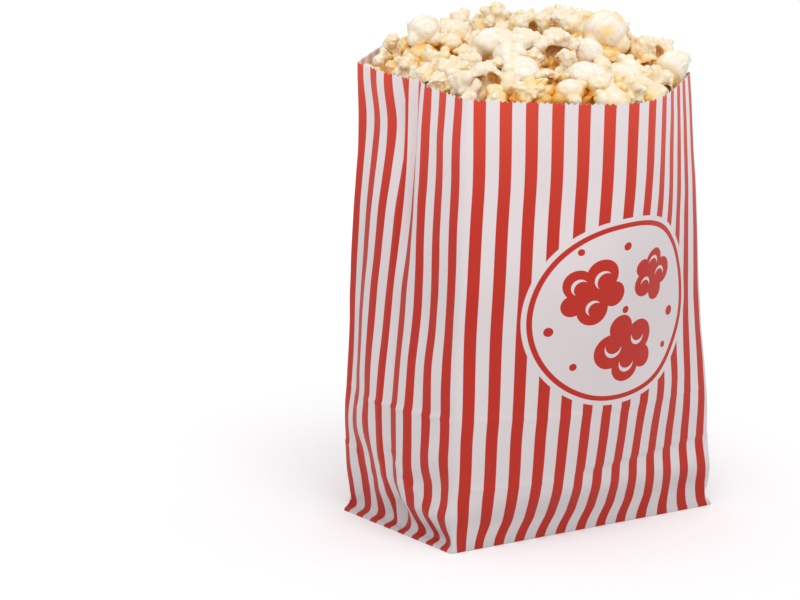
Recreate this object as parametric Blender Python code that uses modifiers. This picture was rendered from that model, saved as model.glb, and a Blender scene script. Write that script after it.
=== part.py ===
"""A striped paper bag that stands on its folded base, filled to a heap with popcorn.

The origin is the middle of the base, +X runs along the wide front to the right, -Y is the front, +Z is up.
A place on the bag is given by two distances on the flat paper: how far round from the front left corner,
and how high above the base. The paper can bend but not stretch, so every section has the same length round.
"""

import bisect
import math
import random

import bmesh
import bpy
import numpy as np
from mathutils import Matrix, Vector

# Driving sizes, in metres
FACE_WIDTH = 0.140
GUSSET_WIDTH = 0.083
PAPER_HEIGHT = 0.213
STANDING_HEIGHT = 0.196
PAPER_THICKNESS = 0.0005
FILL_GAP = 0.0007
RIM_DIP_TO_FRONT = 0.082
RIM_DIP_TO_LEFT = 0.012
DIP_POWER = 1.5

# Sizes of the gusset's centre crease and of the bends beside it
CREASE_HALF_WIDTH = 0.007
GUSSET_BEND = 0.007
TRACE_STEP = 0.001

# Sections up the bag, by height on the paper. The angles are the headings of the paper in degrees, seen
# from above: a gusset leaves the back corner at one and meets the front corner at the other, and the face
# does the same on each side of its crest. The crest is that far from the front left corner.
SECTIONS = (
    {"height": 0.000, "gusset": (-90, -90), "crease": 0.000, "face": (0, 0), "crest": 0.040, "bend": 0.030},
    {"height": 0.012, "gusset": (-90, -90), "crease": 0.006, "face": (-11, 4), "crest": 0.040, "bend": 0.032},
    {"height": 0.026, "gusset": (-98, -82), "crease": 0.005, "face": (-23, 10), "crest": 0.042, "bend": 0.032},
    {"height": 0.057, "gusset": (-101, -76), "crease": 0.003, "face": (-24, 16), "crest": 0.055, "bend": 0.033},
    {"height": 0.110, "gusset": (-95, -84), "crease": 0.002, "face": (-34, 27), "crest": 0.061, "bend": 0.032},
    {"height": 0.165, "gusset": (-90, -86), "crease": 0.010, "face": (-29, 35), "crest": 0.074, "bend": 0.018},
    {"height": 0.213, "gusset": (-89, -88), "crease": 0.009, "face": (-35, 40), "crest": 0.073, "bend": 0.018},
)

# The bag leans a little: the middle of a section stands off the middle of the base
LEAN = (
    (0.000, 0.000, 0.000),
    (0.012, 0.002, 0.002),
    (0.026, 0.001, 0.002),
    (0.057, -0.002, -0.001),
    (0.110, -0.002, 0.001),
    (0.165, -0.001, 0.002),
    (0.213, -0.004, 0.000),
)

# Heights on the paper at which the solids have a ring of points, and the places round each ring. An inset
# ring is drawn in further at a corner, up to a limit.
HEAP_EDGE = 0.204
LOW_RINGS = (0, 0.006, 0.012, 0.019, 0.026, 0.041, 0.057)
HIGH_RINGS = (0.078, 0.1, 0.125, 0.15, 0.172, 0.19, HEAP_EDGE, PAPER_HEIGHT)
RING_HEIGHTS = LOW_RINGS + HIGH_RINGS
FACE_POINTS = 14
CORNER_LIMIT = 0.5
CREASE_PLACE = -GUSSET_WIDTH / 2
GUSSET_POINTS = (
    -GUSSET_WIDTH,
    -GUSSET_WIDTH + 0.017,
    CREASE_PLACE - CREASE_HALF_WIDTH,
    CREASE_PLACE,
    CREASE_PLACE + CREASE_HALF_WIDTH,
    -0.017,
)

# The popcorn: a core that fills the bag and rises in a dome, and the flakes that stand out of it
DOME_RISE = 0.021
DOME_REACH = 0.022
DOME_RINGS = (0.9, 0.76, 0.6, 0.42, 0.22)
FLAKE_COUNT = 80
FLAKE_RADIUS = (0.0090, 0.0130)
FLAKE_SPACING = 0.0115
FLAKE_CLEARANCE = 0.0016
FLAKE_LIFT = 0.25
FLAKE_SEED = 11
FLAKE_DRAWS = 20000
FLAKE_AREA = ((-0.08, 0.08), (-0.08, 0.06))
FLAKE_EDGE = FLAKE_RADIUS[0] * 0.8 + FLAKE_CLEARANCE
LOBES = 5
LOBE_SIZE = (0.42, 0.62)
FLAKE_MIDDLE = 0.68

PAPER_COLOUR = (0.72, 0.70, 0.74)
POPCORN_COLOUR = (0.86, 0.74, 0.47)


def clear_scene():
    for thing in list(bpy.data.objects):
        bpy.data.objects.remove(thing)


def new_collection(name):
    collection = bpy.data.collections.new(name)
    bpy.context.scene.collection.children.link(collection)
    return collection


def new_material(name, colour, roughness):
    material = bpy.data.materials.new(name)
    material.use_nodes = True
    shader = material.node_tree.nodes["Principled BSDF"]
    shader.inputs["Base Color"].default_value = (*colour, 1)
    shader.inputs["Roughness"].default_value = roughness
    shader.inputs["Metallic"].default_value = 0
    return material


def new_object(name, shape, collection, material):
    mesh = bpy.data.meshes.new(name)
    shape.to_mesh(mesh)
    shape.free()
    thing = bpy.data.objects.new(name, mesh)
    thing.data.materials.append(material)
    collection.objects.link(thing)
    return thing


# A smooth curve through a few values that never swings past them

def slopes_of(places, values):
    """The slope at each place: none at a turning point, and between its neighbours' slopes elsewhere."""
    steps = np.diff(places)
    rises = np.diff(values) / steps
    slopes = np.zeros(len(places))
    slopes[0] = rises[0]
    slopes[-1] = rises[-1]
    for i in range(1, len(places) - 1):
        if rises[i - 1] * rises[i] > 0:
            before = 2 * steps[i] + steps[i - 1]
            after = steps[i] + 2 * steps[i - 1]
            slopes[i] = (before + after) / (before / rises[i - 1] + after / rises[i])
    return slopes


def eased(place, places, values):
    values = np.array(values, dtype=float)
    places = np.array(places, dtype=float)
    i = min(max(bisect.bisect_right(list(places), place) - 1, 0), len(places) - 2)
    slopes = slopes_of(places, values)
    step = places[i + 1] - places[i]
    t = (place - places[i]) / step
    start = (1 + 2 * t) * (1 - t) ** 2 * values[i] + t * (1 - t) ** 2 * step * slopes[i]
    end = t * t * (3 - 2 * t) * values[i + 1] + t * t * (t - 1) * step * slopes[i + 1]
    return start + end


# The bag's form

def section_value(height, key, side=None):
    heights = [section["height"] for section in SECTIONS]
    if side is None:
        values = [section[key] for section in SECTIONS]
    else:
        values = [section[key][side] for section in SECTIONS]
    return eased(height, heights, values)


def turned(place, middle, width, before, after):
    """A heading that turns from one value to another round a middle."""
    share = 1 / (1 + math.exp(-(place - middle) / width))
    return before + (after - before) * share


def heading(place, height):
    """Which way the paper runs, seen from above, at a distance round from the front left corner."""
    if place >= 0:
        crest = section_value(height, "crest")
        bend = section_value(height, "bend")
        near = section_value(height, "face", 0)
        far = section_value(height, "face", 1)
        return turned(place, crest, bend / 2, near, far)
    back = section_value(height, "gusset", 0)
    front = section_value(height, "gusset", 1)
    angle = turned(place, CREASE_PLACE, GUSSET_BEND, back, front)
    groove = math.degrees(math.atan2(section_value(height, "crease"), CREASE_HALF_WIDTH))
    if -CREASE_HALF_WIDTH < place - CREASE_PLACE < 0:
        angle += groove
    elif 0 <= place - CREASE_PLACE < CREASE_HALF_WIDTH:
        angle -= groove
    return angle


def half_section(height):
    """Places round the left gusset and the front, and where each lies. The back half is this, turned round."""
    steps = round((GUSSET_WIDTH + FACE_WIDTH) / TRACE_STEP)
    places = np.linspace(-GUSSET_WIDTH, FACE_WIDTH, steps + 1)
    middles = (places[:-1] + places[1:]) / 2
    angles = np.radians([heading(place, height) for place in middles])
    x = np.concatenate([[0], np.cumsum(np.cos(angles) * TRACE_STEP)])
    y = np.concatenate([[0], np.cumsum(np.sin(angles) * TRACE_STEP)])
    return places, x - (x[0] + x[-1]) / 2, y - (y[0] + y[-1]) / 2


def columns():
    return list(GUSSET_POINTS) + [FACE_WIDTH * i / FACE_POINTS for i in range(FACE_POINTS)]


def ring(height):
    """The closed section at a height on the paper, anticlockwise from above, as points in the plane."""
    places, x, y = half_section(height)
    half_x = np.interp(columns(), places, x)
    half_y = np.interp(columns(), places, y)
    lean_x = eased(height, [row[0] for row in LEAN], [row[1] for row in LEAN])
    lean_y = eased(height, [row[0] for row in LEAN], [row[2] for row in LEAN])
    points = [Vector((lean_x + a, lean_y + b)) for a, b in zip(half_x, half_y)]
    points += [Vector((lean_x - a, lean_y - b)) for a, b in zip(half_x, half_y)]
    return points


def standing_height(height, point):
    """How high a place on the paper stands. The rim dips to the front, and the base is level."""
    dip = RIM_DIP_TO_LEFT * point.x + RIM_DIP_TO_FRONT * point.y
    share = height / PAPER_HEIGHT
    return share * STANDING_HEIGHT + share**DIP_POWER * dip


def inset(points, distance):
    """The same outline, drawn in by a distance."""
    result = []
    for i, point in enumerate(points):
        before = (point - points[i - 1]).normalized()
        after = (points[(i + 1) % len(points)] - point).normalized()
        middle = before + after
        inward = Vector((-middle.y, middle.x)).normalized()
        reach = distance / max(inward.dot(Vector((-before.y, before.x))), CORNER_LIMIT)
        result.append(point + inward * reach)
    return result


def lofted(shape, outlines):
    """Faces between rings of points, each ring above the last. Returns the rings of vertices."""
    rows = [[shape.verts.new(point) for point in outline] for outline in outlines]
    for low, high in zip(rows, rows[1:]):
        for i in range(len(low)):
            j = (i + 1) % len(low)
            shape.faces.new((low[i], low[j], high[j], high[i]))
    return rows


def wall_rings(distance, heights):
    rings = []
    for height in heights:
        flat = ring(height)
        drawn_in = inset(flat, distance) if distance else flat
        rings.append([(p.x, p.y, standing_height(height, p)) for p in drawn_in])
    return rings


def make_bag(collection):
    """The bag's outer face with its flat base, given its thickness inwards."""
    shape = bmesh.new()
    rows = lofted(shape, wall_rings(0, RING_HEIGHTS))
    shape.faces.new(list(reversed(rows[0])))
    material = new_material("striped paper", PAPER_COLOUR, 0.6)
    bag = new_object("paper_bag", shape, collection, material)
    wall = bag.modifiers.new("paper", "SOLIDIFY")
    wall.thickness = PAPER_THICKNESS
    wall.offset = -1
    wall.use_even_offset = True
    return bag


# The popcorn's form

def wall_distance(point, outline):
    """How far a point inside the rim is from the paper."""
    nearest = math.inf
    for i, start in enumerate(outline):
        run = outline[(i + 1) % len(outline)] - start
        along = (point - start).dot(run) / run.length_squared
        foot = start + run * min(max(along, 0), 1)
        nearest = min(nearest, (point - foot).length)
    return nearest


def is_inside(point, outline):
    crossings = 0
    for i, a in enumerate(outline):
        b = outline[(i + 1) % len(outline)]
        if (a.y > point.y) != (b.y > point.y):
            if point.x < a.x + (point.y - a.y) / (b.y - a.y) * (b.x - a.x):
                crossings += 1
    return crossings % 2 == 1


def dome_height(point, outline):
    """The core's top: below the rim beside the paper, and rising quickly to a broad crown."""
    rise = DOME_RISE * (1 - math.exp(-wall_distance(point, outline) / DOME_REACH))
    return standing_height(HEAP_EDGE, point) + rise


def make_core(outline):
    """The filling: it follows the inside of the bag with a small gap, up to the dome."""
    shape = bmesh.new()
    side_heights = [PAPER_THICKNESS + FILL_GAP] + list(RING_HEIGHTS[1:-1])
    rings = wall_rings(PAPER_THICKNESS + FILL_GAP, side_heights)
    rings[0] = [(x, y, PAPER_THICKNESS + FILL_GAP) for x, y, z in rings[0]]
    top = inset(ring(HEAP_EDGE), PAPER_THICKNESS + FILL_GAP)
    middle = sum(outline, Vector((0, 0))) / len(outline)
    for share in DOME_RINGS:
        points = [middle + (p - middle) * share for p in top]
        rings.append([(p.x, p.y, dome_height(p, outline)) for p in points])
    rows = lofted(shape, rings)
    shape.faces.new(list(reversed(rows[0])))
    crown = shape.verts.new((middle.x, middle.y, dome_height(middle, outline)))
    for i, vertex in enumerate(rows[-1]):
        shape.faces.new((vertex, rows[-1][(i + 1) % len(rows[-1])], crown))
    return shape


def flake_places(outline, chance):
    """Middles of the flakes, spread evenly over the heap but in no order."""
    places = []
    for _ in range(FLAKE_DRAWS):
        if len(places) == FLAKE_COUNT:
            break
        point = Vector([chance.uniform(*side) for side in FLAKE_AREA])
        if not is_inside(point, outline) or wall_distance(point, outline) < FLAKE_EDGE:
            continue
        if all((point - other).length > FLAKE_SPACING for other in places):
            places.append(point)
    return places


def lobe_reach(way, middle, size):
    """How far a round lobe reaches out along a direction from the flake's middle, or nothing if it misses."""
    along = middle.dot(way)
    inside = size * size - middle.length_squared + along * along
    return along + math.sqrt(inside) if inside > 0 and along > 0 else 0


def make_flake(radius, chance):
    """One popped kernel: a few round lobes that swell out of a small middle."""
    shape = bmesh.new()
    bmesh.ops.create_icosphere(shape, subdivisions=2, radius=1)
    lobes = []
    for _ in range(LOBES):
        way = Vector([chance.gauss(0, 1) for axis in "xyz"]).normalized()
        size = chance.uniform(*LOBE_SIZE)
        lobes.append((way * (1 - size), size))
    for vertex in shape.verts:
        way = vertex.co.normalized()
        reach = max(lobe_reach(way, middle, size) for middle, size in lobes)
        vertex.co = way * max(reach, FLAKE_MIDDLE) * radius
    return shape


def outer_shell_only(thing):
    """Drops loose scraps and the walls of sealed hollows, which leaves one solid."""
    shape = bmesh.new()
    shape.from_mesh(thing.data)
    left = set(shape.verts)
    pieces = []
    while left:
        piece = {left.pop()}
        edge = list(piece)
        while edge:
            vertex = edge.pop()
            for link in vertex.link_edges:
                other = link.other_vert(vertex)
                if other not in piece:
                    piece.add(other)
                    edge.append(other)
        left -= piece
        pieces.append(piece)
    keep = max(pieces, key=len)
    for piece in pieces:
        if piece is not keep:
            bmesh.ops.delete(shape, geom=list(piece), context="VERTS")
    shape.to_mesh(thing.data)
    shape.free()


def make_heap(collection):
    chance = random.Random(FLAKE_SEED)
    material = new_material("popped corn", POPCORN_COLOUR, 0.7)
    outline = ring(PAPER_HEIGHT)
    heap = new_object("popcorn_heap", make_core(outline), collection, material)
    flakes = new_collection("flakes to join")
    for number, place in enumerate(flake_places(outline, chance)):
        room = wall_distance(place, outline) - FLAKE_CLEARANCE
        radius = min(chance.uniform(*FLAKE_RADIUS), room)
        flake = make_flake(radius, chance)
        turn = Matrix.Rotation(chance.uniform(0, math.tau), 4, "Z")
        height = dome_height(place, outline) + FLAKE_LIFT * radius
        bmesh.ops.transform(flake, matrix=Matrix.Translation((*place, height)) @ turn, verts=flake.verts)
        new_object(f"flake_{number}", flake, flakes, material)
    union = heap.modifiers.new("flakes", "BOOLEAN")
    union.operation = "UNION"
    union.operand_type = "COLLECTION"
    union.collection = flakes
    union.solver = "EXACT"
    graph = bpy.context.evaluated_depsgraph_get()
    joined = bpy.data.meshes.new_from_object(heap.evaluated_get(graph))
    heap.modifiers.remove(union)
    heap.data = joined
    for flake in list(flakes.objects):
        bpy.data.objects.remove(flake)
    bpy.data.collections.remove(flakes)
    outer_shell_only(heap)
    return heap


clear_scene()
popcorn_bag = new_collection("popcorn bag")
make_bag(popcorn_bag)
make_heap(popcorn_bag)
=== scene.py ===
"""A striped paper bag heaped with popcorn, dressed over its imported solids.

The origin is the middle of the base, +X runs along the wide front to the right, -Y is the front, +Z is up.
Sizes are in metres.
"""

import math
import random

import bmesh
import bpy
import numpy as np
from mathutils import Matrix, Vector, noise


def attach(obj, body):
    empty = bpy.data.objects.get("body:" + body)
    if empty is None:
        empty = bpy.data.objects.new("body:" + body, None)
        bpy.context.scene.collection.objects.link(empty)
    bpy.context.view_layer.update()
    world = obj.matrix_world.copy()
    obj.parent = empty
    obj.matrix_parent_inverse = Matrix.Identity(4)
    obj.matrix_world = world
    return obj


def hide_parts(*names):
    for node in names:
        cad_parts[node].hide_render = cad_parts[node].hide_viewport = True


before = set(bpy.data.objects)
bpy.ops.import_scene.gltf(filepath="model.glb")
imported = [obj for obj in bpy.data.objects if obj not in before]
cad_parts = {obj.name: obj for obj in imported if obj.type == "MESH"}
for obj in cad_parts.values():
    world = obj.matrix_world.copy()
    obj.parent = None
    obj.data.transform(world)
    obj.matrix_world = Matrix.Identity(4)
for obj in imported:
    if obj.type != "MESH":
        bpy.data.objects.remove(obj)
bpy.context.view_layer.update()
scene = bpy.context.scene

# The bag's paper: one white sheet printed with red stripes on its outside, folded into a block-bottom bag
# with a gusset at each side, and glued where its ends overlap up the middle of the back. A place on it is
# given on the flat sheet: the distance round from the front left corner, and the height above the base.
FACE_WIDTH = 0.140
GUSSET_WIDTH = 0.083
HALF_ROUND = FACE_WIDTH + GUSSET_WIDTH
PAPER_HEIGHT = 0.213
STANDING_HEIGHT = 0.196
RIM_DIP_TO_FRONT = 0.082
RIM_DIP_TO_LEFT = 0.012
CREASE_PLACE = -GUSSET_WIDTH / 2
CREASE_BEFORE = 0.007
CREASE_AFTER = 0.0130
GUSSET_BEND = 0.007
CORNER_REACH = 0.0016
PAPER_THICKNESS = 0.00016
GLUE_OVERLAP = 0.012
OVERLAP_LIFT = 0.0004
OVERLAP_EASE = 0.006

# Headings of the paper in degrees, seen from above, at a few heights up the sheet. A gusset leaves the back
# corner at one and meets the front corner at the other, creased out by a little between them, and the face
# turns at its crest from one heading to the other, over a bend of some width.
SECTION_KEYS = ("height", "gusset", "crease", "face", "crest", "bend")
SECTION_ROWS = (
    (0.000, (-90, -90), 0.000, (0, 0), 0.040, 0.030),
    (0.012, (-90, -90), 0.006, (-11, 4), 0.040, 0.032),
    (0.026, (-98, -82), 0.005, (-23, 10), 0.042, 0.032),
    (0.057, (-101, -76), 0.003, (-24, 16), 0.055, 0.033),
    (0.110, (-95, -84), 0.002, (-34, 27), 0.061, 0.032),
    (0.165, (-90, -86), 0.010, (-29, 35), 0.074, 0.018),
    (0.213, (-89, -88), 0.009, (-35, 40), 0.073, 0.018),
)
SECTIONS = [dict(zip(SECTION_KEYS, row)) for row in SECTION_ROWS]

# How far the middle of the section stands off the middle of the base, as (height, to the right, to the back)
LEAN = (
    (0.000, 0.000, 0.000),
    (0.012, 0.002, 0.002),
    (0.026, 0.001, 0.002),
    (0.057, -0.002, -0.001),
    (0.110, -0.002, 0.001),
    (0.165, -0.001, 0.002),
    (0.213, -0.004, 0.000),
)
TRACE_STEP = 0.0005

# The rim is cut with pinking blades: small even teeth, each two columns of the mesh wide
FACE_COLUMNS = 114
GUSSET_COLUMNS = 68
TOOTH_DEPTH = 0.0010
LOW_ROWS = 66
LOW_ROWS_TOP = 0.070
HIGH_ROWS = 48

# What use has pressed into the sheet, on top of its form, in millimetres: soft dents and swells, as (distance
# round, height, reach round, reach up, push out), and sharp fold lines, as (distance round and height of one
# end, and of the other, ridge, how far the paper below stands out). The back half has the same.
MM = 0.001
DENTS = ((100, 68, 18, 13, 1.6), (128, 8, 14, 8, -2.2))
PRESSED_AT = (-77, -68, -59, -50, -41.5, -33, -24, -15, -6)
PRESSED_REACH = 7.0
PRESSED = (
    (4, 4, (-2.7, -1.9, -2.5, -3.5, -1.3, -1.5, -3.4, -3.0, -2.6)),
    (9, 4.5, (-0.6, -1.8, -1.1, -2.1, -0.8, -0.2, -0.5, -0.7, -0.5)),
    (15, 5, (-0.2, -1.3, 0.4, -0.0, 1.0, 1.4, 1.1, 1.3, 1.2)),
    (21, 5.5, (0.1, -1.7, -0.6, -0.7, 0.9, 0.9, -0.3, -0.9, -0.7)),
    (28, 6, (0.5, -1.1, -0.9, -0.4, 1.1, 0.8, -0.7, -1.3, -0.8)),
    (35, 6.5, (0.1, -0.9, -0.4, -0.2, 0.6, 0.6, 0.2, 0.2, -0.5)),
    (43, 7.5, (0.2, 0.5, -0.1, -0.7, 0.4, 0.3, -0.4, 0.6, 0.4)),
    (52, 8, (-0.4, 0.4, 0.2, -1.1, 0.0, 0.0, -0.7, -0.1, -0.3)),
    (62, 8, (-1.2, -0.3, -0.4, -0.4, 0.0, 0.1, -0.2, -0.2, -0.1)),
    (73, 9, (-1.1, 0.0, 0.2, -0.5, 0.1, 0.1, -0.2, 0.3, 0.3)),
    (86, 12, (-1.2, 0.2, 0.4, -0.6, -0.0, 0.1, -0.0, 0.8, 0.4)),
    (104, 16, (-1.1, 0.6, 0.5, -0.6, 0.2, 0.0, -0.7, -0.2, -0.1)),
    (126, 18, (-1.3, 0.1, 0.2, -1.1, 0.3, 0.4, -0.4, -0.1, 0.0)),
    (150, 18, (-0.8, 0.3, 0.6, -0.6, 0.9, 1.0, 0.1, 0.7, 0.5)),
    (172, 16, (-1.0, -0.5, -0.5, -1.9, 0.8, 1.3, 0.1, 0.6, 0.6)),
    (190, 14, (-1.8, -1.3, -1.0, -4.5, 0.2, 1.3, -0.4, 1.0, 0.7)),
    (207, 12, (-0.0, 0.5, 0.6, -1.5, 0.5, 0.6, -0.6, 0.1, -0.2)),
)
FOLD_LINES = (
    (2, 28.5, 48, 29.5, 0.25, 0.2),
    (58, 31, 139, 34, 0.3, -0.8),
    (-83, 34, -72, 31, 0.4, 0.2),
    (-82, 66, -66, 54, 0.3, 0.0),
    (-62, 61, -2, 63, 0.45, 0.3),
    (2, 63, 60, 62, 0.1, 0.3),
    (62, 62, 138, 60, 0.3, -0.1),
    (-41.5, 41, -3, 3, 0.5, 0.2),
    (-41.5, 41, -80, 3, 0.3, -0.5),
)
FOLD_WIDTH = 1.3
FOLD_STEP = 1.0
FOLD_FADE = 9.0
FOLD_END = 0.06
PUSH_STARTS = 3.0
WAVE_DEPTH = 0.28
WAVE_ROUND = 2.6
WAVE_UP = 26.0
WAVE_DETAIL = (1.0, 2.0, 2)
WAVES_START = 6.0
BASE_SHEAR = 2.8
SHEAR_HEIGHTS = (12.0, 2.0)
SHEAR_FROM_LEFT = (2.0, 20.0)
SHEAR_FROM_RIGHT = (134.0, 90.0)


def slopes_of(places, values):
    """The slope at each place: none at a turning point, and between its neighbours' slopes elsewhere."""
    steps = np.diff(places)
    rises = np.diff(values) / steps
    slopes = np.zeros(len(places))
    slopes[0] = rises[0]
    slopes[-1] = rises[-1]
    for i in range(1, len(places) - 1):
        if rises[i - 1] * rises[i] > 0:
            before = 2 * steps[i] + steps[i - 1]
            after = steps[i] + 2 * steps[i - 1]
            slopes[i] = (before + after) / (before / rises[i - 1] + after / rises[i])
    return slopes


def eased(place, places, values):
    """A smooth curve through a few values, which never swings past them."""
    values = np.array(values, dtype=float)
    places = np.array(places, dtype=float)
    i = int(np.clip(np.searchsorted(places, place, side="right") - 1, 0, len(places) - 2))
    slopes = slopes_of(places, values)
    step = places[i + 1] - places[i]
    t = (place - places[i]) / step
    start = (1 + 2 * t) * (1 - t) ** 2 * values[i] + t * (1 - t) ** 2 * step * slopes[i]
    end = t * t * (3 - 2 * t) * values[i + 1] + t * t * (t - 1) * step * slopes[i + 1]
    return start + end


def section_value(height, key, side=None):
    values = [section[key] if side is None else section[key][side] for section in SECTIONS]
    return eased(height, [section["height"] for section in SECTIONS], values)


def smooth_step(value, low, high):
    t = np.clip((value - low) / (high - low), 0, 1)
    return t * t * (3 - 2 * t)


def turned(place, middle, width, before, after):
    """A heading that turns from one value to another round a middle."""
    return before + (after - before) / (1 + np.exp(-(place - middle) / width))


def headings(places, height):
    """Which way the paper runs, seen from above, at distances round from the front left corner."""
    back = section_value(height, "gusset", 0)
    front = section_value(height, "gusset", 1)
    gusset = turned(places, CREASE_PLACE, GUSSET_BEND, back, front)
    groove = math.atan2(section_value(height, "crease"), CREASE_BEFORE)
    back_out = math.asin(math.sin(groove) * CREASE_BEFORE / CREASE_AFTER)
    past = places - CREASE_PLACE
    gusset += np.where((past > -CREASE_BEFORE) & (past < 0), math.degrees(groove), 0)
    gusset -= np.where((past >= 0) & (past < CREASE_AFTER), math.degrees(back_out), 0)
    near = section_value(height, "face", 0)
    far = section_value(height, "face", 1)
    face = turned(places, section_value(height, "crest"), section_value(height, "bend") / 2, near, far)
    start = smooth_step(places, -GUSSET_WIDTH - CORNER_REACH, -GUSSET_WIDTH + CORNER_REACH)
    corner = smooth_step(places, -CORNER_REACH, CORNER_REACH)
    end = smooth_step(places, FACE_WIDTH - CORNER_REACH, FACE_WIDTH + CORNER_REACH)
    heading = gusset + (face - gusset) * corner
    return heading + (far - 180 - back) * (1 - start) + (back + 180 - far) * end


def standing_height(height, x, y):
    """How high a place on the paper stands. The rim dips to the front, and the base is level."""
    share = height / PAPER_HEIGHT
    return share * STANDING_HEIGHT + share**1.5 * (RIM_DIP_TO_LEFT * x + RIM_DIP_TO_FRONT * y)


def section_points(height, places):
    """Where the paper lies at a height, for distances round it. The back half is the front turned round."""
    traced = np.linspace(-GUSSET_WIDTH, FACE_WIDTH, round(HALF_ROUND / TRACE_STEP) + 1)
    angles = np.radians(headings((traced[:-1] + traced[1:]) / 2, height))
    x = np.concatenate([[0], np.cumsum(np.cos(angles) * TRACE_STEP)])
    y = np.concatenate([[0], np.cumsum(np.sin(angles) * TRACE_STEP)])
    turns = np.floor((places + GUSSET_WIDTH) / HALF_ROUND)
    inside = places - turns * HALF_ROUND
    side = np.where(turns % 2 == 0, 1.0, -1.0)
    lean_x = eased(height, [row[0] for row in LEAN], [row[1] for row in LEAN])
    lean_y = eased(height, [row[0] for row in LEAN], [row[2] for row in LEAN])
    across = lean_x + side * (np.interp(inside, traced, x) - (x[0] + x[-1]) / 2)
    deep = lean_y + side * (np.interp(inside, traced, y) - (y[0] + y[-1]) / 2)
    return across, deep


def columns_round():
    """Distances round the sheet, from its glued end at the back to its other end, which laps over it."""
    gusset = -GUSSET_WIDTH + GUSSET_WIDTH * np.arange(GUSSET_COLUMNS) / GUSSET_COLUMNS
    face = FACE_WIDTH * np.arange(FACE_COLUMNS) / FACE_COLUMNS
    half = np.concatenate([gusset, face])
    whole = np.concatenate([half - HALF_ROUND, half, half + HALF_ROUND])
    start = -GUSSET_WIDTH - FACE_WIDTH / 2
    end = start + 2 * HALF_ROUND + GLUE_OVERLAP
    return whole[(whole > start - 1e-6) & (whole < end)]


def rows_up():
    low = np.linspace(0, LOW_ROWS_TOP, LOW_ROWS + 1)
    high = np.linspace(LOW_ROWS_TOP, PAPER_HEIGHT, HIGH_ROWS + 1)
    return np.concatenate([low, high[1:]])


def sheet_points():
    """The sheet's grid of points, one row for each height."""
    around = columns_round()
    heights = rows_up()
    grid = np.zeros((len(heights), len(around), 3))
    for row, height in enumerate(heights):
        level = np.full(len(around), height)
        if row == len(heights) - 1:
            level[1::2] -= TOOTH_DEPTH
        x, y = section_points(height, around)
        grid[row, :, 0] = x
        grid[row, :, 1] = y
        grid[row, :, 2] = standing_height(level, x, y)
    return around, heights, grid


def outward_of(grid):
    """The outward normal at each point of the sheet."""
    along = np.gradient(grid, axis=1)
    upward = np.gradient(grid, axis=0)
    normal = np.cross(along, upward)
    return normal / np.linalg.norm(normal, axis=2, keepdims=True)


def fold_push(along, up):
    """How far folds and dents push the paper out, at distances round its half and heights, in millimetres."""
    push = np.zeros(along.shape)
    dents = list(DENTS)
    for height, rise, depths in PRESSED:
        dents += [(place, height, PRESSED_REACH, rise, depth) for place, depth in zip(PRESSED_AT, depths)]
    half = HALF_ROUND / MM
    for place, height, reach, rise, depth in dents:
        past = np.mod(along - place + half / 2, half) - half / 2
        push += depth * np.exp(-((past / reach) ** 2) - ((up - height) / rise) ** 2)
    for u0, v0, u1, v1, ridge, step in FOLD_LINES:
        length = math.hypot(u1 - u0, v1 - v0)
        way_u = (u1 - u0) / length
        way_v = (v1 - v0) / length
        share = ((along - u0) * way_u + (up - v0) * way_v) / length
        off = (up - v0) * way_u - (along - u0) * way_v
        off *= 1 if way_u > 0 else -1
        ends = smooth_step(share, -FOLD_END, FOLD_END) * smooth_step(share, 1 + FOLD_END, 1 - FOLD_END)
        push += ends * ridge * np.exp(-np.abs(off) / FOLD_WIDTH)
        push += ends * step * np.where(off < 0, np.exp(off / FOLD_FADE), np.exp(-off / FOLD_STEP))
    return push * smooth_step(up, 0.0, PUSH_STARTS)


def waves(along, up):
    """Slight waves of the paper, tall and narrow, from about -1 to 1."""
    turn = along * math.tau / (HALF_ROUND / MM)
    values = np.zeros(along.shape)
    for place in np.ndindex(along.shape):
        across = math.cos(turn[place]) * WAVE_ROUND
        deep = math.sin(turn[place]) * WAVE_ROUND
        values[place] = noise.fractal(Vector((across, deep, up[place] / WAVE_UP)), *WAVE_DETAIL)
    return values


def folded_sheet(around, heights, grid):
    """The sheet with its folds and dents, and the low band of its faces drawn a little to the left."""
    along = (np.mod(around + GUSSET_WIDTH, HALF_ROUND) - GUSSET_WIDTH)[None, :] / MM
    side = np.where(np.mod(np.floor((around + GUSSET_WIDTH) / HALF_ROUND), 2) == 0, 1.0, -1.0)
    up = heights[:, None] / MM
    along, up = np.broadcast_arrays(along, up)
    push = fold_push(along, up) + WAVE_DEPTH * waves(along, up) * smooth_step(up, 0.0, WAVES_START)
    result = grid + outward_of(grid) * (push * MM)[:, :, None]
    low = smooth_step(up, *SHEAR_HEIGHTS)
    low = low * smooth_step(along, *SHEAR_FROM_LEFT) * smooth_step(along, *SHEAR_FROM_RIGHT)
    result[:, :, 0] -= BASE_SHEAR * MM * low * side[None, :]
    return result


def sheet_at(around, heights):
    """The finished form of the sheet for any distances round and heights, without its pinked edge."""
    grid = np.zeros((len(heights), len(around), 3))
    for row, height in enumerate(heights):
        x, y = section_points(height, around)
        grid[row] = np.column_stack([x, y, standing_height(np.full(len(around), height), x, y)])
    return folded_sheet(around, heights, grid)


def new_piece(name, mesh):
    piece = bpy.data.objects.new(name, mesh)
    scene.collection.objects.link(piece)
    return piece


def applied(piece):
    """The piece with its modifiers made part of its mesh."""
    graph = bpy.context.evaluated_depsgraph_get()
    mesh = bpy.data.meshes.new_from_object(piece.evaluated_get(graph))
    piece.modifiers.clear()
    old = piece.data
    piece.data = mesh
    bpy.data.meshes.remove(old)
    mesh.name = piece.name
    return piece


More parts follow.
